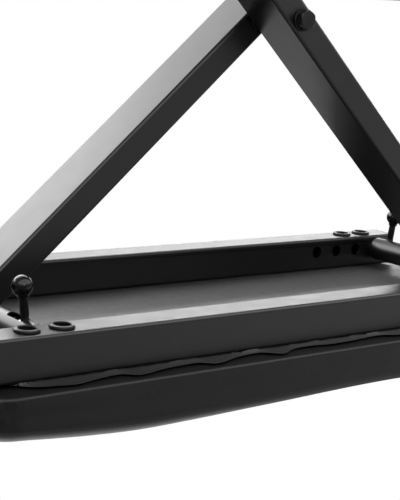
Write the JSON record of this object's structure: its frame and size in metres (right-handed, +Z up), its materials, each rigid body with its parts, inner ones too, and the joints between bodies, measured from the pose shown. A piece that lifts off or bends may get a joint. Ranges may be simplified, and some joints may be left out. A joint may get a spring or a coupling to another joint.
{
  "type": "folding keyboard bench",
  "caption": "Padded rectangular bench on two steel rails with one crossed pair of legs that folds flat and locks at stepped heights by ball-ended spring bolt levers.",
  "frame": {"origin": "on the floor under the middle of the seat, the bench standing open on its feet", "axes": "+X along the seat towards the end where the back leg hangs, +Z up, so the front rail and front leg are at -Y"},
  "size_m": [0.696, 0.307, 0.5234],
  "materials": {
    "satin_black_steel": "satin",
    "black_oxide_steel": "satin",
    "zinc_steel": "satin",
    "black_plastic": "matte",
    "gloss_knob": "gloss",
    "foot_rubber": "matte",
    "cover_vinyl": "satin",
    "underside_cloth": "matte",
    "board_wood": "matte",
    "foam_block": "matte"
  },
  "bodies": {
    "seat": {"rail_front": "satin_black_steel", "rail_cap_front_left": "black_plastic", "rail_cap_front_right": "black_plastic", "grommet_front_1": "black_plastic", "seat_screw_front_1": "zinc_steel", "grommet_front_2": "black_plastic", "seat_screw_front_2": "zinc_steel", "grommet_front_3": "black_plastic", "seat_screw_front_3": "zinc_steel", "grommet_front_4": "black_plastic", "seat_screw_front_4": "zinc_steel", "rail_back": "satin_black_steel", "rail_cap_back_left": "black_plastic", "rail_cap_back_right": "black_plastic", "grommet_back_1": "black_plastic", "seat_screw_back_1": "zinc_steel", "grommet_back_2": "black_plastic", "seat_screw_back_2": "zinc_steel", "grommet_back_3": "black_plastic", "seat_screw_back_3": "zinc_steel", "grommet_back_4": "black_plastic", "seat_screw_back_4": "zinc_steel", "underside_sheet": "underside_cloth", "seat_board": "board_wood", "seat_foam": "foam_block", "seat_cover": "cover_vinyl"},
    "leg_a": {"leg_tube_a": "satin_black_steel", "cross_tube_a": "satin_black_steel", "spring_stop_a": "zinc_steel", "bolt_spring_a_front": "zinc_steel", "bolt_spring_a_back": "zinc_steel", "foot_bar_a": "satin_black_steel", "foot_cap_a_front": "foot_rubber", "foot_cap_a_back": "foot_rubber", "pivot_bolt": "black_oxide_steel", "pivot_lock_nut": "black_oxide_steel", "pivot_washer": "black_oxide_steel", "pivot_spacer": "black_plastic"},
    "lock_a_front": {"lock_bolt_a_front": "zinc_steel", "lever_stem_a_front": "black_oxide_steel", "lever_knob_a_front": "gloss_knob"},
    "lock_a_back": {"lock_bolt_a_back": "zinc_steel", "lever_stem_a_back": "black_oxide_steel", "lever_knob_a_back": "gloss_knob"},
    "leg_b": {"leg_tube_b": "satin_black_steel", "cross_tube_b": "satin_black_steel", "spring_stop_b": "zinc_steel", "bolt_spring_b_front": "zinc_steel", "bolt_spring_b_back": "zinc_steel", "foot_bar_b": "satin_black_steel", "foot_cap_b_front": "foot_rubber", "foot_cap_b_back": "foot_rubber"},
    "lock_b_front": {"lock_bolt_b_front": "zinc_steel", "lever_stem_b_front": "black_oxide_steel", "lever_knob_b_front": "gloss_knob"},
    "lock_b_back": {"lock_bolt_b_back": "zinc_steel", "lever_stem_b_back": "black_oxide_steel", "lever_knob_b_back": "gloss_knob"}
  },
  "joints": [
    {"name": "fold", "type": "hinge", "parent": "seat", "child": "leg_a", "pos_m": [0.266, 0, 0.44468], "axis": [0, 1, 0], "range_deg": [-9.4, 38.8]},
    {"name": "leg_b_pivot", "type": "hinge", "parent": "leg_a", "child": "leg_b", "pos_m": [-0.015, 0, 0.19185], "axis": [0, 1, 0], "range_deg": [-78, 19]},
    {"name": "lever_a_front", "type": "slide", "parent": "leg_a", "child": "lock_a_front", "axis": [0, 1, 0], "range_m": [0, 0.02], "stiffness_N_per_m": 600, "springref_m": -0.02, "deforming": ["bolt_spring_a_front"]},
    {"name": "lever_a_back", "type": "slide", "parent": "leg_a", "child": "lock_a_back", "axis": [0, -1, 0], "range_m": [0, 0.02], "stiffness_N_per_m": 600, "springref_m": -0.02, "deforming": ["bolt_spring_a_back"]},
    {"name": "lever_b_front", "type": "slide", "parent": "leg_b", "child": "lock_b_front", "axis": [0, 1, 0], "range_m": [0, 0.02], "stiffness_N_per_m": 600, "springref_m": -0.02, "deforming": ["bolt_spring_b_front"]},
    {"name": "lever_b_back", "type": "slide", "parent": "leg_b", "child": "lock_b_back", "axis": [0, -1, 0], "range_m": [0, 0.02], "stiffness_N_per_m": 600, "springref_m": -0.02, "deforming": ["bolt_spring_b_back"]}
  ],
  "couplings": [
    {"joint": "leg_b_pivot", "follows": "fold", "ratio": -2}
  ]
}
